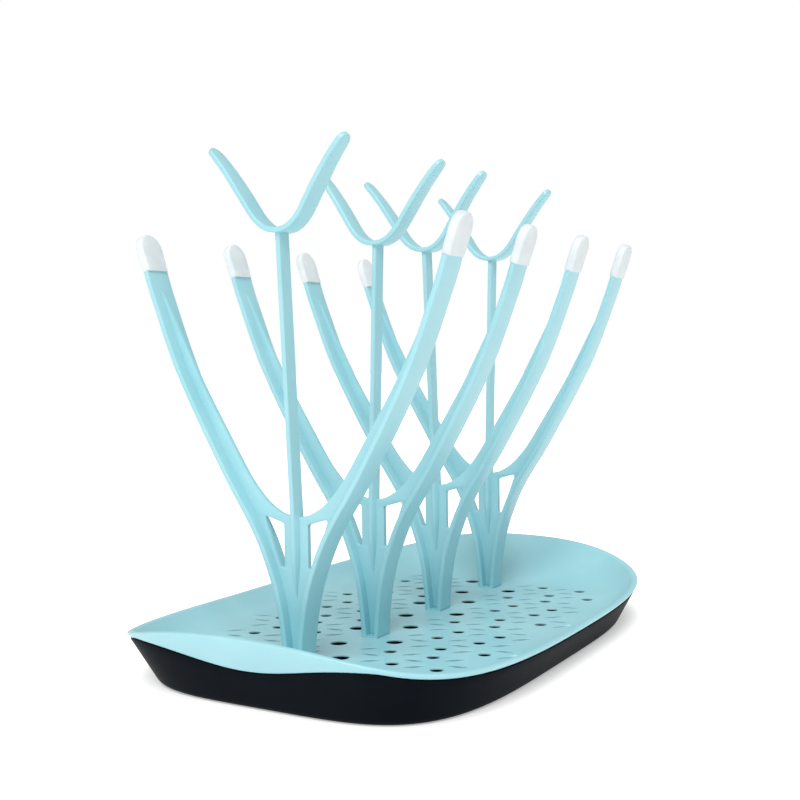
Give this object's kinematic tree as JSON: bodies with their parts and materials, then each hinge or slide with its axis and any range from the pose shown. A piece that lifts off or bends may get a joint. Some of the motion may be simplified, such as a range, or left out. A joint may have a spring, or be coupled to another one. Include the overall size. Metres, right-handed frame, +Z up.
{
  "type": "bottle drying rack",
  "caption": "Baby bottle drying rack: branching uprights with forked tops and soft arm ends, on a perforated drain tray over a drip tray.",
  "frame": {"origin": "middle of the trays, on the table", "axes": "+Z up, X along the row of uprights, Y across it"},
  "size_m": [0.314, 0.2082, 0.2613],
  "materials": {
    "aqua_plastic": "satin, pale aqua, slightly milky",
    "black_plastic": "satin, near black with a navy tint",
    "soft_cap_rubber": "soft matt, pale grey-white"
  },
  "bodies": {
    "drip_tray": {"drip_tray": "black_plastic"},
    "drain_tray": {"drain_tray": "aqua_plastic"},
    "tree_1": {"tree_1": "aqua_plastic", "tip_cap_1_left": "soft_cap_rubber", "tip_cap_1_right": "soft_cap_rubber"},
    "tree_2": {"tree_2": "aqua_plastic", "tip_cap_2_left": "soft_cap_rubber", "tip_cap_2_right": "soft_cap_rubber"},
    "tree_3": {"tree_3": "aqua_plastic", "tip_cap_3_left": "soft_cap_rubber", "tip_cap_3_right": "soft_cap_rubber"},
    "tree_4": {"tree_4": "aqua_plastic", "tip_cap_4_left": "soft_cap_rubber", "tip_cap_4_right": "soft_cap_rubber"}
  },
  "joints": [
    {"name": "drain_tray_lift", "type": "slide", "parent": "drip_tray", "child": "drain_tray", "axis": [0, 0, 1], "range_m": [0, 0.04]},
    {"name": "tree_1_pull", "type": "slide", "parent": "drain_tray", "child": "tree_1", "axis": [0, 0, 1], "range_m": [0, 0.03]},
    {"name": "tree_2_pull", "type": "slide", "parent": "drain_tray", "child": "tree_2", "axis": [0, 0, 1], "range_m": [0, 0.03]},
    {"name": "tree_3_pull", "type": "slide", "parent": "drain_tray", "child": "tree_3", "axis": [0, 0, 1], "range_m": [0, 0.03]},
    {"name": "tree_4_pull", "type": "slide", "parent": "drain_tray", "child": "tree_4", "axis": [0, 0, 1], "range_m": [0, 0.03]}
  ]
}
